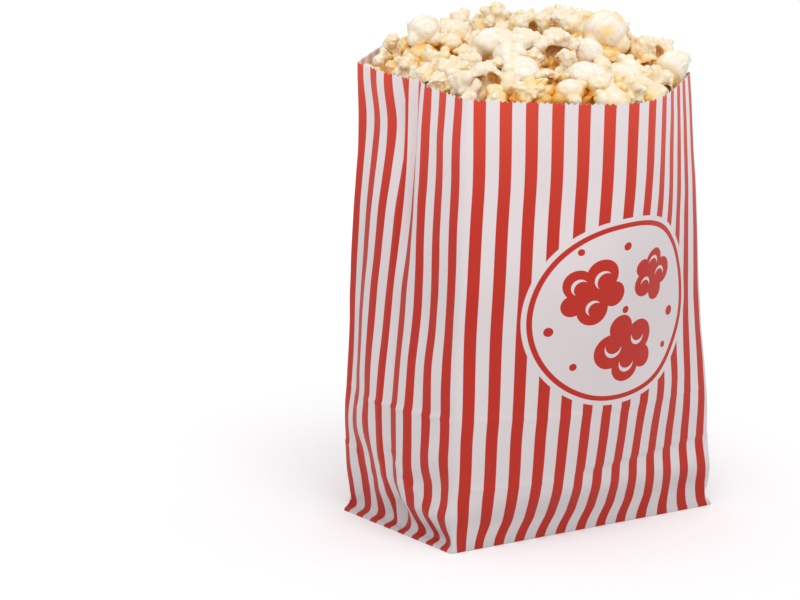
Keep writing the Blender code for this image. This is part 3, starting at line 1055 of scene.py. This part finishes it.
kinds = list(KERNELS)
lying = {kind: [] for kind in kinds}
taken = []
for kind, x, y, rise, size, tilt, turn in SHOWN:
    spot = np.array([[x, y]]) * MM
    middle = Vector((*spot[0], dome_height(spot)[0] + rise * MM))
    facing = [math.radians(tilt), 0, math.radians(FACING + turn)]
    lying[kind].append((middle, facing, squashed(size)))
    taken.append(middle)
for most, sink, spacing, sizes, from_rim, from_neck in LAYERS:
    reach = (-DRAW_REACH, DRAW_REACH)
    spots = np.array([[chance.uniform(*reach), chance.uniform(*reach)] for _ in range(DRAWS)])
    for wall, clear in ((RIM, from_rim), (NECK, from_neck)):
        spots = spots[inside(wall, spots) & (nearest_on(wall, spots)[0] > clear)]
    placed = []
    for spot, height in zip(spots, dome_height(spots) - sink):
        middle = Vector((*spot, height))
        if len(placed) < most and all((middle - other).length > spacing for other in taken + placed):
            placed.append(middle)
            turn = [chance.uniform(0, math.tau) for _ in range(3)]
            lying[chance.choice(kinds)].append((middle, turn, squashed(chance.uniform(*sizes))))
    taken += placed


def heap_tree(name):
    """A node tree that stands a kernel on each point, turned and sized as the point says."""
    tree = bpy.data.node_groups.new(name, "GeometryNodeTree")
    socket = tree.interface.new_socket
    socket("Places", in_out="INPUT", socket_type="NodeSocketGeometry")
    given = (("Kernel", "Object"), ("Seed", "Int"), ("Finish", "Material"))
    given = [socket(key, in_out="INPUT", socket_type="NodeSocket" + kind) for key, kind in given]
    socket("Heap", in_out="OUTPUT", socket_type="NodeSocketGeometry")
    nodes = tree.nodes
    start = nodes.new("NodeGroupInput").outputs
    end = nodes.new("NodeGroupOutput").inputs
    turn = nodes.new("GeometryNodeInputNamedAttribute")
    swell = nodes.new("GeometryNodeInputNamedAttribute")
    for node, key in ((turn, "turn"), (swell, "swell")):
        node.data_type = "FLOAT_VECTOR"
        node.inputs["Name"].default_value = key
    info = nodes.new("GeometryNodeObjectInfo")
    stand = nodes.new("GeometryNodeInstanceOnPoints")
    tint = nodes.new("FunctionNodeRandomValue")
    keep = nodes.new("GeometryNodeStoreNamedAttribute")
    keep.domain = "INSTANCE"
    keep.inputs["Name"].default_value = "tint"
    real = nodes.new("GeometryNodeRealizeInstances")
    paint = nodes.new("GeometryNodeSetMaterial")
    for source, target in (
        (start["Places"], stand.inputs["Points"]),
        (start["Kernel"], info.inputs["Object"]),
        (info.outputs["Geometry"], stand.inputs["Instance"]),
        (turn.outputs["Attribute"], stand.inputs["Rotation"]),
        (swell.outputs["Attribute"], stand.inputs["Scale"]),
        (start["Seed"], tint.inputs["Seed"]),
        (stand.outputs[0], keep.inputs["Geometry"]),
        (tint.outputs[1], keep.inputs["Value"]),
        (keep.outputs[0], real.inputs[0]),
        (real.outputs[0], paint.inputs["Geometry"]),
        (start["Finish"], paint.inputs["Material"]),
        (paint.outputs[0], end[0]),
    ):
        tree.links.new(source, target)
    return tree, *[item.identifier for item in given]


# Popped corn is a white foam that light enters a little way. Butter yellows it in patches, and painted
# shade warms it in its creases, between kernels and low in the heap; a few specks of seasoning lie on it,
# and the hull in a hollow is a glossy amber skin. A pattern is given as (scale, detail).
PUFFED = (0.908, 0.886, 0.840, 1)
BUTTER_AND_SHADE_YELLOW = (0.95, 0.665, 0.235, 1)
SHADE_AMBER = (0.82, 0.375, 0.045, 1)
SPECK = (0.30, 0.09, 0.02, 1)
HULL_DARK = (0.30, 0.075, 0.006, 1)
HULL_PALE = (0.74, 0.34, 0.045, 1)
BUTTER_PATCHES = (120.0, 4.0)
BUTTER_EDGE = (0.44, 0.68)
BUTTER_BY_KERNEL = (0.7, 0.15)
CREASE_SHADE_SHARE = 0.7
SHADE_WITH_DEPTH = 0.9
SHADE_WHEN_SHUT_IN = 0.8
WARM_SHADE_TO_YELLOW = (0.0, 0.55, 0.0, 0.9)
WARM_SHADE_TO_AMBER = (0.36, 0.8, 0.0, 0.95)
HULL_MOTTLE = (420.0, 4.0)
HULL_BREAKS = 1.6
SKIN_EDGE = (0.15, 0.50)
HULL_STAINS = (260.0, 3.0)
SPECK_SCALE = 330.0
SPECK_EDGE = (0.05, 0.10)
SPECKLED_PLACES = (75.0, 1.0)
SPECKLED_RANGE = (0.58, 0.64, 0.0, 0.8)
FOAM_GRAIN = (700.0, 4.0)
FOAM_RELIEF = (0.25, 0.0005)
FOAM_ROUGHNESS = 0.55
HULL_ROUGHNESS = 0.28
FOAM_GLOW = 0.3
HULL_GLOW = 0.05
GLOW_COLOURS = (1.0, 0.6, 0.25)
GLOW_DEPTH = 0.0022

popped, shader, links, add = new_material("popped_corn")
where = add("ShaderNodeTexCoord").outputs["Object"]
keys = ("crease", "brown", "tint", "depth", "shut_in")
values = [add("ShaderNodeAttribute", attribute_name=key).outputs["Fac"] for key in keys]
crease, brown, tint, depth, shut_in = values

# Butter lies in patches, more on some kernels than on others, and the creases are painted yellow as painted
# shade
yellow = ramp(add, noise_node(add, where, *BUTTER_PATCHES), *BUTTER_EDGE)
yellow = math_node(add, "MULTIPLY", yellow, math_node(add, "MULTIPLY_ADD", tint, *BUTTER_BY_KERNEL))
yellow = math_node(add, "MAXIMUM", yellow, math_node(add, "MULTIPLY", crease, CREASE_SHADE_SHARE))
colour = colour_mix(add, yellow, PUFFED, BUTTER_AND_SHADE_YELLOW)

# Painted shade: low in the heap and between kernels the colour warms, first to yellow and then to amber
warm_shade = math_node(add, "MULTIPLY", depth, SHADE_WITH_DEPTH)
warm_shade = math_node(add, "MAXIMUM", warm_shade, math_node(add, "MULTIPLY", shut_in, SHADE_WHEN_SHUT_IN))
colour = colour_mix(add, ramp(add, warm_shade, *WARM_SHADE_TO_YELLOW), colour, BUTTER_AND_SHADE_YELLOW)
colour = colour_mix(add, ramp(add, warm_shade, *WARM_SHADE_TO_AMBER), colour, SHADE_AMBER)

# The specks, only here and there
dots = add("ShaderNodeTexVoronoi", where, None, SPECK_SCALE).outputs["Distance"]
dots = ramp(add, dots, *SPECK_EDGE, 1.0, 0.0)
places = ramp(add, noise_node(add, where, *SPECKLED_PLACES), *SPECKLED_RANGE)
colour = colour_mix(add, math_node(add, "MULTIPLY", dots, places), colour, SPECK)

# The hull's skin, broken at its edge
mottle = math_node(add, "SUBTRACT", noise_node(add, where, *HULL_MOTTLE), 0.5)
skin = math_node(add, "ADD", brown, math_node(add, "MULTIPLY", mottle, HULL_BREAKS))
skin = math_node(add, "MULTIPLY", ramp(add, skin, *SKIN_EDGE), brown)
stain = colour_mix(add, noise_node(add, where, *HULL_STAINS), HULL_DARK, HULL_PALE)
links.new(colour_mix(add, skin, colour, stain), shader.inputs["Base Color"])
bumped(add, links, shader, noise_node(add, where, *FOAM_GRAIN), *FOAM_RELIEF)
links.new(ramp(add, brown, 0.0, 1.0, FOAM_ROUGHNESS, HULL_ROUGHNESS), shader.inputs["Roughness"])
links.new(ramp(add, brown, 0.0, 1.0, FOAM_GLOW, HULL_GLOW), shader.inputs["Subsurface Weight"])
shader.inputs["Subsurface Radius"].default_value = GLOW_COLOURS
shader.inputs["Subsurface Scale"].default_value = GLOW_DEPTH

# Each kind of kernel is heaped as one piece. What would cross the paper is pressed back inside it.
SHADE_DEPTH = 0.013
SHUT_IN_REACH = 0.0085
SHUT_IN_ABOVE = (-0.5, 0.6)
SHUT_IN_SPREAD = 1.6
SHUT_IN_RANGE = (0.02, 0.95)
SAME_PLACE = 1e-6
WALL_POINTS = 184
WALL_CLEARANCE = 0.0010
WALL_BANDS = np.arange(0.150, 0.250, 0.004)
SLOPE_STEP = 0.001
PAPER_FOOT = 0.001
OVERHANG = 0.4


def pressed_outline(height, inset):
    """The folded paper's outline in the plane at a height, drawn in by a distance."""
    rows = sheet_at(places_round(WALL_POINTS), height + np.array([-SLOPE_STEP, 0.0, SLOPE_STEP]))
    return (rows - outward_of(rows) * inset)[1, :, :2]


def paper_heights(points):
    """How high up the paper's surface each point is, as if the paper went on above its rim."""
    dip = RIM_DIP_TO_LEFT * points[:, 0] + RIM_DIP_TO_FRONT * points[:, 1]
    return PAPER_HEIGHT * (points[:, 2] - PAPER_FOOT) / (STANDING_HEIGHT + dip)


def shut_in_by(points, own):
    """How shut in by the kernels above it each point is: 0 in the open, 1 deep between them."""
    total = np.zeros(len(points))
    for middle in taken:
        if not any((middle - mine).length < SAME_PLACE for mine in own):
            away = (np.array(middle) - points) / SHUT_IN_REACH
            above = smooth_step(away[:, 2], *SHUT_IN_ABOVE)
            total += above * np.exp(-(away**2).sum(axis=1) / SHUT_IN_SPREAD)
    return smooth_step(total, *SHUT_IN_RANGE)


def keep_in_bag(points):
    """Presses back inside the paper what would cross it. Above the rim a kernel may lean out a little."""
    heights = paper_heights(points)
    for low, high, wall in WALLS:
        band = np.flatnonzero((heights >= low) & (heights < high))
        crossing = band[~inside(wall, points[band, :2])]
        if len(crossing):
            points[crossing, :2] = nearest_on(wall, points[crossing, :2])[1]


WALLS = []
for low, high in zip(WALL_BANDS, WALL_BANDS[1:]):
    lean_out = OVERHANG * max(0.0, low - PAPER_HEIGHT)
    middle = min((low + high) / 2, PAPER_HEIGHT)
    WALLS.append((low, high, pressed_outline(middle, WALL_CLEARANCE + PAPER_THICKNESS - lean_out)))


tree, kernel_input, seed_input, finish_input = heap_tree("heap of kernels")
for number, kind in enumerate(kinds):
    name = "popcorn_" + kind
    middles = [middle for middle, _, _ in lying[kind]]
    mesh = bpy.data.meshes.new(name)
    mesh.from_pydata(middles, [], [])
    turns = mesh.attributes.new("turn", "FLOAT_VECTOR", "POINT")
    turns.data.foreach_set("vector", np.array([turn for _, turn, _ in lying[kind]]).ravel())
    swells = mesh.attributes.new("swell", "FLOAT_VECTOR", "POINT")
    swells.data.foreach_set("vector", np.array([swell for _, _, swell in lying[kind]]).ravel())
    heap = new_piece(name, mesh)
    grow = heap.modifiers.new("heap", "NODES")
    grow.node_group = tree
    grow[kernel_input] = kernels[kind]
    grow[seed_input] = number
    grow[finish_input] = popped
    applied(heap)
    points = points_of(heap.data)
    keep_in_bag(points)
    heap.data.vertices.foreach_set("co", points.ravel())
    # How deep each point lies under the dome and how shut in it is, which the finish turns into painted shade
    sunk = dome_height(points[:, :2]) - points[:, 2]
    keep_on(heap, "depth", smooth_step(sunk, 0.0, SHADE_DEPTH))
    keep_on(heap, "shut_in", shut_in_by(points, middles))
    heap.data.update()
    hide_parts("popcorn_heap")
    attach(heap, "root")
for kernel in kernels.values():
    bpy.data.objects.remove(kernel)

# The floor, the light and the camera. The floor is plain white, and the light comes from all round and,
# softly, from above the camera.
FLOOR_REACH = 10
FLOOR_LEVEL = -0.0002
FLOOR_WHITE = (0.96, 0.96, 0.97, 1)
floor_mesh = bpy.data.meshes.new("floor")
corners = ((-1, -1), (1, -1), (1, 1), (-1, 1))
corners = [(x * FLOOR_REACH, y * FLOOR_REACH, FLOOR_LEVEL) for x, y in corners]
floor_mesh.from_pydata(corners, [], [(0, 1, 2, 3)])
floor = new_piece("floor", floor_mesh)
floor.visible_diffuse = False
white, shader, links, add = new_material("floor")
shader.inputs["Base Color"].default_value = FLOOR_WHITE
shader.inputs["Roughness"].default_value = 1.0
shader.inputs["Specular IOR Level"].default_value = 0.0
floor.data.materials.append(white)

ROUND_LIGHT = 0.8
world = bpy.data.worlds.new("studio")
scene.world = world
world.use_nodes = True
sky = world.node_tree.nodes["Background"].inputs
sky["Color"].default_value = (1, 1, 1, 1)
sky["Strength"].default_value = ROUND_LIGHT

SUN_AZIMUTH = math.radians(-25)
SUN_ELEVATION = math.radians(58)
SUN_STRENGTH = 1.1
SUN_SOFTNESS = math.radians(50)
sun = bpy.data.lights.new("overhead", "SUN")
sun.energy = SUN_STRENGTH
sun.angle = SUN_SOFTNESS
lamp = bpy.data.objects.new("overhead", sun)
towards = Vector((math.sin(SUN_AZIMUTH), -math.cos(SUN_AZIMUTH), math.tan(SUN_ELEVATION)))
lamp.rotation_euler = towards.to_track_quat("Z", "Y").to_euler()
scene.collection.objects.link(lamp)

CAMERA_AZIMUTH = math.radians(-33.82)
CAMERA_ELEVATION = math.radians(12.04)
CAMERA_DISTANCE = 1.5
CAMERA_SIDE = -0.0565
CAMERA_RISE = 0.0912
CAMERA_LENS = 153.1
CAMERA_SENSOR = 36
CAMERA_REACH = 20
back = Vector(
    (
        math.sin(CAMERA_AZIMUTH) * math.cos(CAMERA_ELEVATION),
        -math.cos(CAMERA_AZIMUTH) * math.cos(CAMERA_ELEVATION),
        math.sin(CAMERA_ELEVATION),
    )
)
right = Vector((math.cos(CAMERA_AZIMUTH), math.sin(CAMERA_AZIMUTH), 0))
up = back.cross(right)
camera = bpy.data.objects.new("camera", bpy.data.cameras.new("camera"))
camera.data.lens = CAMERA_LENS
camera.data.sensor_width = CAMERA_SENSOR
camera.data.clip_end = CAMERA_REACH
turn = Matrix((right, up, back)).transposed().to_4x4()
place = back * CAMERA_DISTANCE + right * CAMERA_SIDE + up * CAMERA_RISE
camera.matrix_world = Matrix.Translation(place) @ turn
scene.collection.objects.link(camera)
scene.camera = camera
scene.view_settings.view_transform = "Standard"
